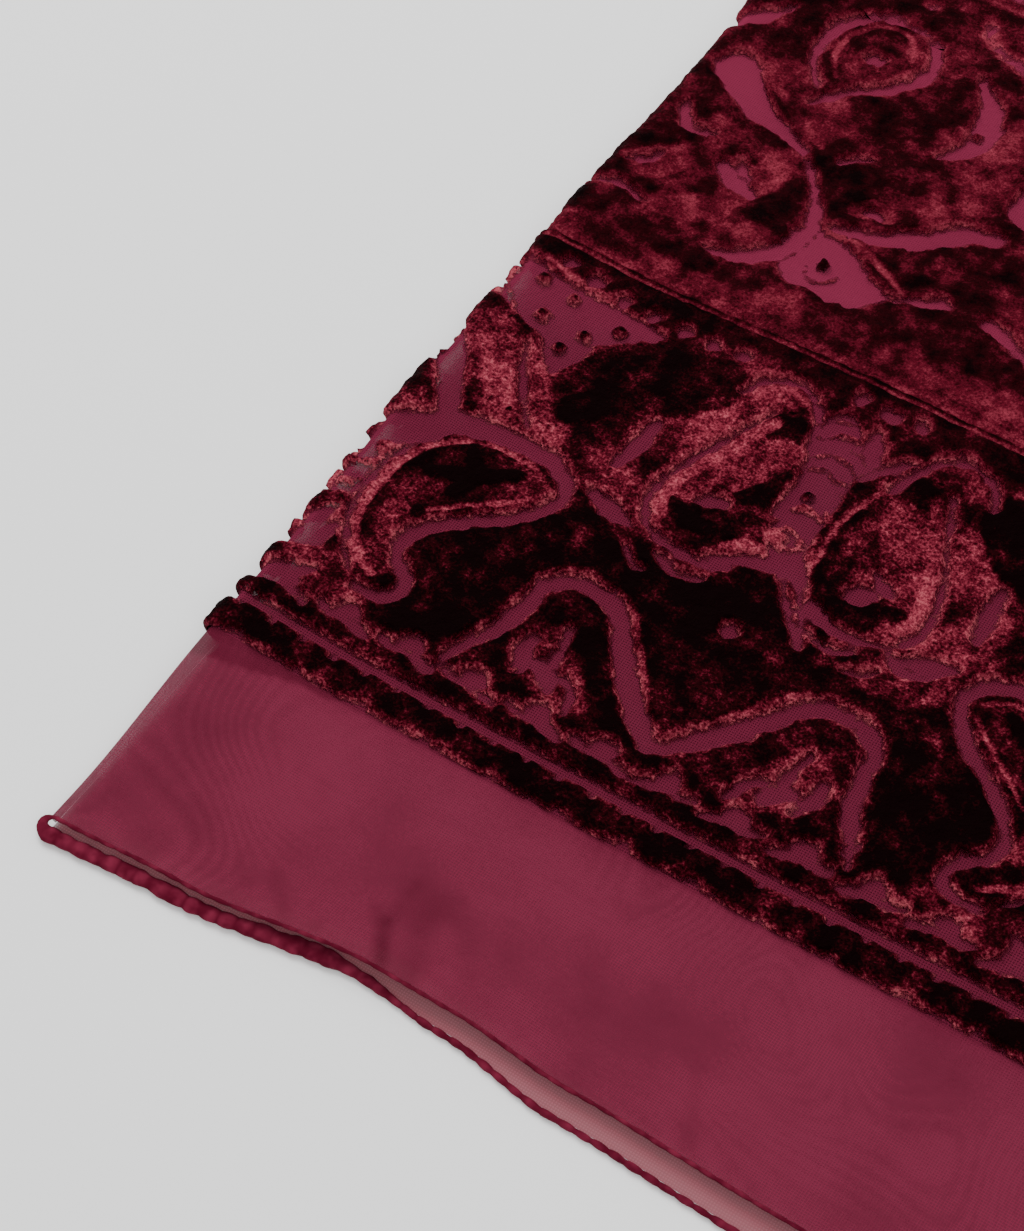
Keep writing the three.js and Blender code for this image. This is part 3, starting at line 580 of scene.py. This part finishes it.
# Makes a sheet from a grid of places, with values at each place for its material to read
def cloth_mesh(name, places, **values_of):
    rows, columns = places.shape[:2]
    index = np.arange(rows * columns).reshape(rows, columns)
    quads = np.stack([index[:-1, :-1], index[:-1, 1:], index[1:, 1:], index[1:, :-1]], axis=-1)
    quads = quads.reshape(-1, 4)
    mesh = bpy.data.meshes.new(name)
    mesh.vertices.add(rows * columns)
    mesh.vertices.foreach_set("co", (places * MM).astype(np.float32).ravel())
    mesh.loops.add(quads.size)
    mesh.loops.foreach_set("vertex_index", quads.astype(np.int32).ravel())
    mesh.polygons.add(len(quads))
    mesh.polygons.foreach_set("loop_start", np.arange(0, quads.size, 4, dtype=np.int32))
    mesh.polygons.foreach_set("use_smooth", np.ones(len(quads), bool))
    mesh.update(calc_edges=True)
    u, v = np.meshgrid(np.linspace(0, 1, columns), np.linspace(0, 1, rows))
    flat = np.stack([u, v], axis=-1).reshape(-1, 2)
    uv_map = mesh.uv_layers.new(name="OFBake")
    uv_map.data.foreach_set("uv", flat[quads.ravel()].astype(np.float32).ravel())
    for label, values in values_of.items():
        attribute = mesh.attributes.new(label, "FLOAT", "POINT")
        attribute.data.foreach_set("value", values.astype(np.float32).ravel())
    obj = bpy.data.objects.new(name, mesh)
    bpy.context.collection.objects.link(obj)
    return obj


PILE_EDGE_FROM = -0.1
PILE_EDGE_TO = 0.8
CRUSHED = 0.3
LEFT_OF_TURN = 2


# The upper layer's velvet between two places along the cut and two across it.
# Without a start it begins at the bottom of the turn.
def upper_velvet(name, low, high, step, start, stop):
    radius = turn_radius
    along = np.linspace(low, high, int(round((high - low) / step)) + 1)
    flat_from = radius if start is None else start
    flat = np.linspace(flat_from, stop, int(round((stop - flat_from) / step)) + 1)
    half_turn = math.pi * radius / 2
    turn = np.zeros(0)
    if start is None:
        turn = np.linspace(-half_turn, half_turn, int(2 * half_turn / step) + 2)[:-1]
    reach = np.concatenate([turn, flat - radius + half_turn])
    reach, along = np.meshgrid(reach, along)
    angle = np.clip(reach / radius + math.pi / 2, 0, math.pi)
    beyond = np.maximum(reach - half_turn, 0)
    across = np.where(beyond > 0, radius + beyond, radius * (1 - np.sin(angle)))
    in_turn = turn_bottom + radius * (1 - np.cos(angle))
    height = np.where(beyond > 0, upper_height(across, along), in_turn)
    inside, bright = pile_pattern(reach, along)
    stand = PILE_HEIGHT * ease(inside, PILE_EDGE_FROM, PILE_EDGE_TO)
    rough = 0.1 * smooth_noise(reach, along, 0.7, 5)
    rough = rough + 0.13 * smooth_noise(reach, along, 1.8, 6)
    stand = stand * (1 + rough - CRUSHED * bright)
    across = across - stand * np.sin(angle)
    height = height - stand * np.cos(angle)
    across = np.maximum(across, -LEFT_OF_TURN)
    places = lay_cloth(across, along, np.maximum(height, 0), False)
    return cloth_mesh(name, places, pile_inside=inside, pile_bright=bright)


# Adds a node to a tree, with its settings, its links and the values of its other inputs
def add_node(tree, kind, links=(), inputs=(), **settings):
    node = tree.nodes.new(kind)
    for setting, value in settings.items():
        setattr(node, setting, value)
    for socket, value in inputs:
        node.inputs[socket].default_value = value
    for source, socket in links:
        tree.links.new(source, node.inputs[socket])
    return node


# The nodes that most of the materials use
def add_noise(tree, place, scale, detail, roughness=0.5):
    inputs = [("Scale", scale), ("Detail", detail), ("Roughness", roughness)]
    return add_node(tree, "ShaderNodeTexNoise", [(place, "Vector")], inputs).outputs[0]


def add_range(tree, value, low, high, first=0.0, last=1.0):
    inputs = [(1, low), (2, high), (3, first), (4, last)]
    return add_node(tree, "ShaderNodeMapRange", [(value, 0)], inputs).outputs[0]


def add_bump(tree, height, strength, distance):
    inputs = [("Strength", strength), ("Distance", distance)]
    return add_node(tree, "ShaderNodeBump", [(height, "Height")], inputs).outputs[0]


def read_value(tree, name):
    return add_node(tree, "ShaderNodeAttribute", attribute_name=name).outputs["Fac"]


def object_place(tree):
    return tree.nodes.new("ShaderNodeTexCoord").outputs["Object"]


def add_maths(tree, operation, *terms, clamp=False):
    node = tree.nodes.new("ShaderNodeMath")
    node.operation = operation
    node.use_clamp = clamp
    for socket, term in zip(node.inputs, terms):
        if isinstance(term, (int, float)):
            socket.default_value = term
        else:
            tree.links.new(term, socket)
    return node.outputs[0]


def mix_colour(tree, share, first, second):
    node = tree.nodes.new("ShaderNodeMix")
    node.data_type = "RGBA"
    sockets = (node.inputs[0], node.inputs[6], node.inputs[7])
    for socket, term in zip(sockets, (share, first, second)):
        if isinstance(term, (int, float, tuple)):
            socket.default_value = term
        else:
            tree.links.new(term, socket)
    return node.outputs[2]


def new_group(name, outputs):
    group = bpy.data.node_groups.new(name, "ShaderNodeTree")
    for label, kind in outputs:
        group.interface.new_socket(label, in_out="OUTPUT", socket_type=kind)
    return group, group.nodes.new("NodeGroupOutput")


# The bare crepe: fine threads both ways, with the ripples that two layers of threads show
THREAD_PITCH = 0.42 * MM
CREPE = (0.163, 0.0165, 0.0415, 1)
CREPE_DEEP = (0.085, 0.005, 0.018, 1)
crepe_group, crepe_out = new_group(
    "Crepe",
    [("Colour", "NodeSocketColor"), ("Cover", "NodeSocketFloat"), ("Height", "NodeSocketFloat")],
)
tree = crepe_group
place = object_place(tree)
parts = add_node(tree, "ShaderNodeSeparateXYZ", [(place, 0)]).outputs
turns = 2 * math.pi / THREAD_PITCH
warp = add_maths(tree, "SINE", add_maths(tree, "MULTIPLY", parts[0], turns))
weft = add_maths(tree, "SINE", add_maths(tree, "MULTIPLY", parts[1], turns))
threads = add_maths(tree, "MAXIMUM", warp, weft)
cloud = add_noise(tree, place, scale=45, detail=4)
grain = add_noise(tree, place, scale=1500, detail=1)
bands = add_noise(tree, place, scale=13, detail=2)
spots = add_noise(tree, place, scale=22, detail=0)
ripples = add_maths(tree, "SINE", add_maths(tree, "MULTIPLY", bands, 520))
rippled = add_range(tree, spots, 0.45, 0.62, last=0.1)
deep = add_maths(tree, "MULTIPLY_ADD", cloud, 1.5, -0.65)
deep = add_maths(tree, "MULTIPLY_ADD", grain, 0.35, deep)
deep = add_maths(tree, "MULTIPLY_ADD", threads, -0.17, deep)
deep = add_maths(tree, "MULTIPLY_ADD", ripples, rippled, deep, clamp=True)
cover = add_maths(tree, "MULTIPLY_ADD", threads, 0.06, 0.77)
colour = mix_colour(tree, deep, CREPE, CREPE_DEEP)
for socket, source in enumerate((colour, cover, threads)):
    tree.links.new(source, crepe_out.inputs[socket])

# The pile: nearly black where it stands, red at its edges, and bright where it is crushed; the red
# and the bright are painted sheen, and its darkest parts painted shade. From the second row on its
# tufts are softer.
PILE_DYE_AND_SHEEN = [
    (0, (0.003, 0.0001, 0.0004, 1)),
    (0.3, (0.02, 0.0006, 0.0022, 1)),
    (0.55, (0.085, 0.004, 0.012, 1)),
    (0.8, (0.215, 0.025, 0.043, 1)),
    (1, (0.37, 0.07, 0.09, 1)),
]
SOFT_FROM = (END_Y + 112) * MM
SOFT_TO = (END_Y + 138) * MM
pile_group, pile_out = new_group(
    "Pile",
    [
        ("Colour", "NodeSocketColor"),
        ("Mask", "NodeSocketFloat"),
        ("Height", "NodeSocketFloat"),
        ("Soft", "NodeSocketFloat"),
    ],
)
tree = pile_group
place = object_place(tree)
parts = add_node(tree, "ShaderNodeSeparateXYZ", [(place, 0)]).outputs
soft = add_range(tree, parts[1], SOFT_FROM, SOFT_TO)
inside = read_value(tree, "pile_inside")
bright = read_value(tree, "pile_bright")
tuft = add_noise(tree, place, scale=2400, detail=2, roughness=0.6)
clump = add_noise(tree, place, scale=900, detail=3, roughness=0.65)
mottle = add_noise(tree, place, scale=300, detail=4, roughness=0.6)
lay = add_noise(tree, place, scale=75, detail=2)
frayed = add_maths(tree, "MULTIPLY_ADD", tuft, 0.9, inside)
frayed = add_maths(tree, "MULTIPLY_ADD", clump, 1.1, frayed)
mask = add_range(tree, frayed, 0.85, 1.3)
fringe_sheen = add_range(tree, inside, 0.2, 1.3, first=0.4, last=0.0)
tone = add_maths(tree, "MULTIPLY_ADD", lay, 1.1, -1.1)
tone = add_maths(tree, "MULTIPLY_ADD", mottle, 1.5, tone)
tone = add_maths(tree, "ADD", tone, fringe_sheen)
crushed_sheen = add_maths(tree, "MAXIMUM", bright, 0)
tone = add_node(tree, "ShaderNodeMix", [(crushed_sheen, 0), (tone, 2)], [(3, 0.8)]).outputs[0]
shaded = add_maths(tree, "MINIMUM", bright, 0)
shaded = add_maths(tree, "MULTIPLY_ADD", shaded, 0.45, tone)
# Fine speckle of the tufts, with painted glints that grow stronger with the painted sheen
speckle = add_maths(tree, "MULTIPLY_ADD", clump, 1.3, -1.35)
speckle = add_maths(tree, "MULTIPLY_ADD", tuft, 1.4, speckle)
gain = add_range(tree, shaded, -0.1, 0.45, first=0.36, last=0.84)
gain = add_maths(tree, "MULTIPLY", gain, add_maths(tree, "MULTIPLY_ADD", soft, -0.4, 1))
tone = add_maths(tree, "MULTIPLY_ADD", speckle, gain, shaded)
tone = add_maths(tree, "MULTIPLY", tone, add_maths(tree, "MULTIPLY_ADD", soft, -0.25, 1))
tone = add_maths(tree, "MULTIPLY_ADD", soft, 0.15, tone)
ramp = add_node(tree, "ShaderNodeValToRGB", [(tone, 0)])
stops = ramp.color_ramp.elements
while len(stops) < len(PILE_DYE_AND_SHEEN):
    stops.new(0.5)
for stop, (position, colour) in zip(stops, PILE_DYE_AND_SHEEN):
    stop.position = position
    stop.color = colour
height = add_maths(tree, "MULTIPLY_ADD", clump, 1.5, tuft)
for socket, source in enumerate((ramp.outputs[0], mask, height, soft)):
    tree.links.new(source, pile_out.inputs[socket])


def new_material(name, roughness, specular):
    material = bpy.data.materials.new(name)
    material.use_nodes = True
    shader = material.node_tree.nodes["Principled BSDF"]
    shader.inputs["Roughness"].default_value = roughness
    shader.inputs["Specular IOR Level"].default_value = specular
    return material, material.node_tree, shader


def group_node(tree, group):
    node = tree.nodes.new("ShaderNodeGroup")
    node.node_tree = group
    return node.outputs


# The velvet: pile over bare crepe, whose weave shows through, and which closes where it turns away
NEAR_CREPE = (0.127, 0.012, 0.032, 1)
FAR_CREPE = (0.178, 0.0165, 0.045, 1)
WEAVE_GAP = (0.045, 0.003, 0.011, 1)
velvet_material, tree, shader = new_material("devore velvet", 0.85, 0.02)
pile = group_node(tree, pile_group)
crepe = group_node(tree, crepe_group)
close = mix_colour(tree, 0.7, crepe["Colour"], NEAR_CREPE)
away = mix_colour(tree, 0.5, crepe["Colour"], FAR_CREPE)
backed = mix_colour(tree, pile["Soft"], close, away)
gaps = add_range(tree, crepe["Height"], -1.0, 0.9, first=0.95, last=0.0)
sharp = add_maths(tree, "MULTIPLY_ADD", pile["Soft"], -0.85, 1)
gaps = add_maths(tree, "MULTIPLY", gaps, sharp)
backed = mix_colour(tree, gaps, backed, WEAVE_GAP)
colour = mix_colour(tree, pile["Mask"], backed, pile["Colour"])
tree.links.new(colour, shader.inputs["Base Color"])
aside = add_node(tree, "ShaderNodeLayerWeight", inputs=[("Blend", 0.5)]).outputs["Facing"]
closed = add_range(tree, aside, 0.22, 0.48, last=0.3)
alpha = add_maths(tree, "ADD", crepe["Cover"], closed)
alpha = add_maths(tree, "MAXIMUM", alpha, pile["Mask"], clamp=True)
tree.links.new(alpha, shader.inputs["Alpha"])
height = add_maths(tree, "MULTIPLY", pile["Height"], pile["Mask"])
bump = add_bump(tree, height, 0.8, 0.6 * MM)
tree.links.new(bump, shader.inputs["Normal"])


def finish_sheet(obj, material, nodes):
    obj.data.materials.append(material)
    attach(obj, "root")
    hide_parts(*nodes)


# How much of the cut an upper sheet has in the turn, and the parts of the close view
NEAR_STEP = 0.42
NEAR_WIDTH = 138
NEAR_SPLIT = 118
NEAR_REACH = 206
for name, low, high in (
    ("velvet_near_1", SHEER_DEPTH, NEAR_SPLIT),
    ("velvet_near_2", NEAR_SPLIT, NEAR_REACH),
):
    obj = upper_velvet(name, low, high, NEAR_STEP, None, NEAR_WIDTH)
    finish_sheet(obj, velvet_material, ["velvet_field"])

# The rest of the upper layer's velvet: beside the close view, and on to the far border.
# It is the same cloth with the same rows of motifs.
SIDE_STEP = 0.85
FAR_STEP = 1.6
FAR_SPLIT = 880
obj = upper_velvet("velvet_near_side", SHEER_DEPTH, NEAR_REACH, SIDE_STEP, NEAR_WIDTH, FOLDED_WIDTH)
finish_sheet(obj, velvet_material, ["velvet_field"])
for name, low, high in (
    ("velvet_far_1", NEAR_REACH, FAR_SPLIT),
    ("velvet_far_2", FAR_SPLIT, CUT_LENGTH - SHEER_DEPTH),
):
    obj = upper_velvet(name, low, high, FAR_STEP, None, FOLDED_WIDTH)
    finish_sheet(obj, velvet_material, ["velvet_field"])

# The lower layer's velvet. It lies on its pile, with the smooth back of the crepe upwards, and the
# pile shows through the crepe from above.
UNDER_STEP = 2.2
UNDER_PILE = 1.3
OVER_SHEER = 0.05
SLIP = 4
SLIP_REACH = 9
SLIP_TO = 80
UNDER_LENGTH = CUT_LENGTH - 2 * SHEER_DEPTH
along = np.linspace(SHEER_DEPTH, CUT_LENGTH - SHEER_DEPTH, int(UNDER_LENGTH / UNDER_STEP))
across = np.linspace(turn_radius, FOLDED_WIDTH, int(FOLDED_WIDTH / UNDER_STEP))
across, along = np.meshgrid(across, along)
inside, bright = pile_pattern(-across, along)
stand = UNDER_PILE * ease(inside, -0.3, 1)
crepe_height = cloth_form(along)[0] + OVER_SHEER
places = lay_cloth(across, along, np.maximum(crepe_height - stand, 0), True)
slip = np.exp(-across / SLIP_REACH) * (1 - ease(along, SHEER_DEPTH, SLIP_TO))
places[..., 1] -= SLIP * slip
under = cloth_mesh("velvet_under", places, pile_inside=inside, pile_bright=bright)
finish_sheet(under, velvet_material, ["velvet_field"])

# The rolled hems. The raw edge is rolled tight between the fingers and caught with tiny stitches,
# which pucker it every few millimetres.
HEM_RADIUS = 0.75
TOP_HEM_RADIUS = 0.32
FLATTENED = 1.8
HEM_SIDES = 12
STITCH_STEP = 2.7
PINCH_DEPTH = 0.34
UNEVEN = 0.09
WOBBLE = 0.12
# The hem's colour is painted shade, HEM_DARK, in its stitch pinches and puckers, and between them
# HEM_LIGHT and HEM_DARK in random patches
HEM_LIGHT = (0.15, 0.013, 0.033, 1)
HEM_DARK = (0.07, 0.003, 0.012, 1)
hem_material, tree, shader = new_material("rolled hem", 0.8, 0.03)
patch = add_noise(tree, object_place(tree), scale=420, detail=2)
share = add_range(tree, patch, 0.35, 0.65)
share = add_maths(tree, "MULTIPLY", share, read_value(tree, "pinched"))
colour = mix_colour(tree, share, HEM_DARK, HEM_LIGHT)
tree.links.new(colour, shader.inputs["Base Color"])


# A puckered roll along a line of places in millimetres
def rolled_hem(name, line, size, flatness, dark, seed):
    line = np.array(line, float)
    onward = np.gradient(line, axis=0)
    onward = onward / np.linalg.norm(onward, axis=1)[:, None]
    side = np.cross(onward, [0, 0, 1])
    side = side / np.linalg.norm(side, axis=1)[:, None]
    over = np.cross(side, onward)
    gone = np.concatenate([[0], np.cumsum(np.linalg.norm(np.diff(line, axis=0), axis=1))])
    seeded = 0 * gone + seed
    phase = gone / STITCH_STEP + 0.25 * smooth_noise(gone, seeded, 9, 21)
    pinch = np.abs(np.sin(math.pi * phase)) ** 0.6
    depth = PINCH_DEPTH / flatness**2
    uneven = smooth_noise(gone, seeded, 1.3, 22) + smooth_noise(gone, seeded, 4, 24)
    radius = size * (1 - depth + depth * pinch + UNEVEN * uneven)
    angle = np.linspace(0, 2 * math.pi, HEM_SIDES + 1)
    gone_round, angle_along = np.broadcast_arrays(gone[:, None], angle)
    wobble = smooth_noise(gone_round, 3 * np.cos(angle_along) + 7, 1.5, 23)
    wobble = 1 + WOBBLE * wobble
    ring = radius[:, None] * wobble
    wide = ring * (flatness + 0 * radius)[:, None]
    places = line[:, None] + (wide * np.cos(angle))[..., None] * side[:, None]
    places = places + (ring * np.sin(angle))[..., None] * over[:, None]
    places[..., 2] = np.maximum(places[..., 2], 0)
    # The share of the lighter colour, with painted shade at each stitch pinch and each pucker
    pinched = 0 * wobble + np.clip(pinch - dark, 0, 1)[:, None]
    obj = cloth_mesh(name, places, pinched=pinched)
    obj.data.materials.append(hem_material)
    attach(obj, "root")
    return obj


HEM_STEP = 0.45
FAR_HEM_STEP = 1.2
SIDE_HEM_STEP = 1.6
FIRST_STITCH = 0.9
TOP_HEM_ASIDE = 0.25
HEM_ASIDE = 1.1
HEM_OUTSIDE = 1.85
THINNER = 0.22
THIN_FROM = 46
ROUND_FROM = 42
ROUND_TO = 60
FLOOR_GAP = 0.1
SIDE_FLOOR_GAP = 0.05
HEM_TURN_OUT = 1.4

# Where the top hem of the near end is drawn into a pucker with painted shade, across the cut
PUCKERS = [22, 29.5, 37.4, 45.8, 53.6]
PUCKER_WIDTH = 1.1
for end, along, outward, step in (
    ("near", 0.0, -1, HEM_STEP),
    ("far", float(CUT_LENGTH), 1, FAR_HEM_STEP),
):
    across = np.arange(FIRST_STITCH, FOLDED_WIDTH + 2 * HEM_RADIUS, step)
    level = 0 * across + along
    top = lay_cloth(across, level, upper_height(across, level), False)
    low_size = HEM_RADIUS - THINNER * ease(across, THIN_FROM, ROUND_TO)
    low_flat = FLATTENED - (FLATTENED - 1) * ease(across, ROUND_FROM, ROUND_TO)
    low = lay_cloth(across, level, low_size + FLOOR_GAP, True)
    top[:, 1] += outward * TOP_HEM_ASIDE
    low[:, 1] += outward * (HEM_OUTSIDE - low_size * low_flat)
    share = np.linspace(0, 1, 10)[1:-1]
    turn = np.stack([
        mix(top[0, 0], low[0, 0], share) - HEM_TURN_OUT * np.sin(math.pi * share),
        mix(top[0, 1], low[0, 1], ease(share, 0, 1)),
        mix(top[0, 2], low[0, 2], share),
    ], axis=-1)
    top_size = 0 * across + TOP_HEM_RADIUS
    turn_size = mix(TOP_HEM_RADIUS, low_size[0], share)
    sizes = np.concatenate([top_size, turn_size, low_size])
    flatness = np.concatenate([1 + 0 * top_size, mix(1, low_flat[0], share), low_flat])
    pucker = sum(np.exp(-(((across - x) / PUCKER_WIDTH) ** 2)) for x in PUCKERS)
    dark = np.concatenate([pucker[::-1] * (end == "near"), 0 * turn_size, 0 * low_size])
    line = np.concatenate([top[::-1], turn, low])
    obj = rolled_hem(f"hem_{end}", line, sizes, flatness, dark, 3.5)
    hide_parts(f"hem_end_{end}")
along = np.arange(0, CUT_LENGTH + 1, SIDE_HEM_STEP)
edge = 0 * along + FOLDED_WIDTH
for name, is_under, height in (
    ("hem_side_top", False, upper_height(edge, along)),
    ("hem_side_under", True, 0 * along + HEM_RADIUS + SIDE_FLOOR_GAP),
):
    line = lay_cloth(edge, along, height, is_under)
    line[:, 0] += HEM_ASIDE
    obj = rolled_hem(f"edge_{name}", line, HEM_RADIUS, 1, 0, 8.5)
    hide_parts(name)

# The sheer borders, where all the pile is burnt away. Each is the same crepe, folded in two layers
# that ripple a little against each other.
THIN_CREPE = (0.23, 0.008, 0.03, 1)
sheer_material, tree, shader = new_material("bare crepe", 0.8, 0.05)
crepe = group_node(tree, crepe_group)
thin = read_value(tree, "thin")
alpha = add_maths(tree, "MULTIPLY_ADD", thin, -0.12, crepe["Cover"])
tree.links.new(alpha, shader.inputs["Alpha"])
tree.links.new(add_bump(tree, crepe["Height"], 0.1, 0.1 * MM), shader.inputs["Normal"])
# Deeper where the lower velvet backs the crepe, with painted shade and highlight in creases and
# streaks
backed_and_shaded = mix_colour(tree, read_value(tree, "backing"), crepe["Colour"], CREPE_DEEP)
tree.links.new(mix_colour(tree, thin, backed_and_shaded, THIN_CREPE), shader.inputs["Base Color"])

# Painted shade of soft creases that run in from the puckered hem, and painted highlight where the
# last value is negative: start, end, half width, and how dark it is
CREASE_SHADES = [
    (32.4, 7, 38.6, 0.6, 1, 0.35),
    (39.4, 5.6, 42.6, 1.6, 1.1, 0.35),
    (26.8, 8, 29.8, 4.4, 0.8, 0.25),
    (47.4, 8.6, 53.4, 1.4, 1.3, 0.45),
    (54.2, -1, 50.2, 7.6, 1, 0.55),
    (50.2, 7.6, 50.4, 16, 1.2, 0.35),
    (57.4, 0, 54, 14, 3, 0.45),
    (57, 16, 64.4, 7, 2, 0.2),
    (36.4, 9, 41, 3.4, 1.4, -0.25),
    (43.6, 10, 49, 3.6, 1.5, -0.25),
    (10, 22, 18, 9, 3, 0.2),
    (78, 18, 84, 3, 3, 0.2),
    (98, 12, 103, 2, 1.6, 0.25),
]


# How far each layer reaches past its end, and where the lower one is seen alone
UNDER_PAST_END = 0.9
TOP_PAST_END = 0.2
SEEN_ALONE_TO = 4
TURN_COLUMNS = 9
NEAR_SHEER_STEP = 0.8
FAR_SHEER_STEP = 1.6


# A sheer border's columns, as shares of the folded width, and its rows along the cut
def sheer_places(near, past_end, step):
    from_end = np.linspace(-past_end, SHEER_DEPTH + 0.2, int(SHEER_DEPTH / step) + 1)
    along = from_end if near else CUT_LENGTH - from_end[::-1]
    return np.linspace(0, 1, int(FOLDED_WIDTH / step) + 1), along


# The lower layer, paler where it shows past the upper one
def sheer_under(name, near, step):
    share, along = np.meshgrid(*sheer_places(near, UNDER_PAST_END, step))
    under, radius, _ = cloth_form(along)
    across = mix(radius, FOLDED_WIDTH, share)
    height = under + 0.05 * smooth_noise(across, along, 9, 11)
    places = lay_cloth(across, along, height, True)
    from_end = np.minimum(along, CUT_LENGTH - along)
    thin = 0.9 * (1 - ease(from_end, SEEN_ALONE_TO, SEEN_ALONE_TO + 1))
    return cloth_mesh(name, places, backing=0 * across, thin=thin)


# The upper layer and the turn. Its colour is deeper where the lower layer's velvet backs it, and it
# has painted shade in its creases, painted highlight on a few of them, and fine streaks of painted
# highlight and shade.
def sheer_top(name, near, step):
    share, along = sheer_places(near, TOP_PAST_END, step)
    turn_share = np.linspace(0, 1, TURN_COLUMNS)[:-1]
    column, along = np.meshgrid(np.concatenate([turn_share - 1, share]), along)
    under, radius, _ = cloth_form(along)
    in_turn = column < 0
    angle = np.where(in_turn, (column + 1) * math.pi, math.pi)
    turn_across = radius * (1 - np.sin(angle))
    flat_across = mix(radius, FOLDED_WIDTH, np.maximum(column, 0))
    across = np.where(in_turn, turn_across, flat_across)
    turn_height = under + radius * (1 - np.cos(angle))
    height = np.where(in_turn, turn_height, upper_height(across, along))
    from_end = np.minimum(along, CUT_LENGTH - along)
    ripple = 0.16 * smooth_noise(across, along * 0.35, 5, 12) * ease(from_end, 1, 7)
    ripple = ripple * (1 - ease(from_end, 28, 36))
    pucker = 0.22 * smooth_noise(across, along * 0.1, 1.9, 13) * (1 - ease(from_end, 0.5, 5))
    height = height + np.where(in_turn, 0, ripple + pucker)
    places = lay_cloth(across, along, height, False)
    shows_to = SHEER_DEPTH - 5 * np.exp(-((across / 15) ** 2))
    shows_to = shows_to + 0.3 * smooth_noise(across, along, 2, 14)
    backing = 0.75 * ease(from_end, shows_to - 0.3, shows_to + 0.3)
    crease_shade = 0 * across
    for x, y, end_x, end_y, width, depth in (CREASE_SHADES if near else []):
        run = np.array([end_x - x, end_y - y])
        t = ((across - x) * run[0] + (along - y) * run[1]) / (run @ run)
        t = np.clip(t, 0, 1)
        gap = np.hypot(across - x - t * run[0], along - y - t * run[1])
        crease_shade = crease_shade + depth * np.exp(-((gap / width) ** 2))
    painted_streaks = smooth_noise(across, along, 3.4, 15)
    painted_streaks = painted_streaks + 0.6 * smooth_noise(across * 0.25, along, 0.9, 16)
    backing = np.clip(backing + crease_shade + 0.12 * painted_streaks, 0, 1)
    return cloth_mesh(name, places, backing=backing, thin=0 * across)


for end, near, step in (("near", True, NEAR_SHEER_STEP), ("far", False, FAR_SHEER_STEP)):
    cad = [f"sheer_end_{end}"]
    under = sheer_under(f"sheer_{end}_under", near, step)
    finish_sheet(under, sheer_material, cad)
    top = sheer_top(f"sheer_{end}_top", near, step)
    finish_sheet(top, sheer_material, cad)

# A plain pale floor under soft studio light
FLOOR_SIZE = 6
LIGHTS_AIM = Vector((-0.09, -0.735, 0))
bpy.ops.mesh.primitive_plane_add(size=FLOOR_SIZE)
floor = bpy.context.object
floor.name = "floor"
floor_material, _, shader = new_material("floor", 0.9, 0.5)
shader.inputs["Base Color"].default_value = (0.9, 0.9, 0.9, 1)
floor.data.materials.append(floor_material)

world = bpy.data.worlds.new("studio")
world.use_nodes = True
background = world.node_tree.nodes["Background"]
background.inputs["Color"].default_value = (1, 1, 1, 1)
background.inputs["Strength"].default_value = 0.82
bpy.context.scene.world = world
for name, place, power, size in (
    ("key", (-0.55, -0.35, 0.8), 10, 0.7),
    ("fill", (0.5, -1.3, 0.9), 5.5, 0.9),
):
    bpy.ops.object.light_add(type="AREA", location=place)
    light = bpy.context.object
    light.name = name
    light.data.energy = power
    light.data.size = size
    light.rotation_euler = (light.location - LIGHTS_AIM).to_track_quat("Z", "Y").to_euler()

# The camera stands close over the near end, on the side of the open edges
AZIMUTH = math.radians(32.76)
ELEVATION = math.radians(53.19)
DISTANCE = 450
LOOK_ACROSS = 35.33
LOOK_ALONG = 64.78
FOCAL_PIXELS = 3000
IMAGE_HEIGHT = 1231
SENSOR = 36
NEAREST = 0.01
back = np.array([
    math.sin(AZIMUTH) * math.cos(ELEVATION),
    -math.cos(AZIMUTH) * math.cos(ELEVATION),
    math.sin(ELEVATION),
])
look = np.array([LOOK_ACROSS + FOLD_X, LOOK_ALONG + END_Y, 0])
bpy.ops.object.camera_add(location=(look + back * DISTANCE) * MM)
camera = bpy.context.object
camera.rotation_euler = (math.pi / 2 - ELEVATION, 0, AZIMUTH)
camera.data.sensor_width = SENSOR
camera.data.lens = SENSOR * FOCAL_PIXELS / IMAGE_HEIGHT
camera.data.clip_start = NEAREST
bpy.context.scene.camera = camera
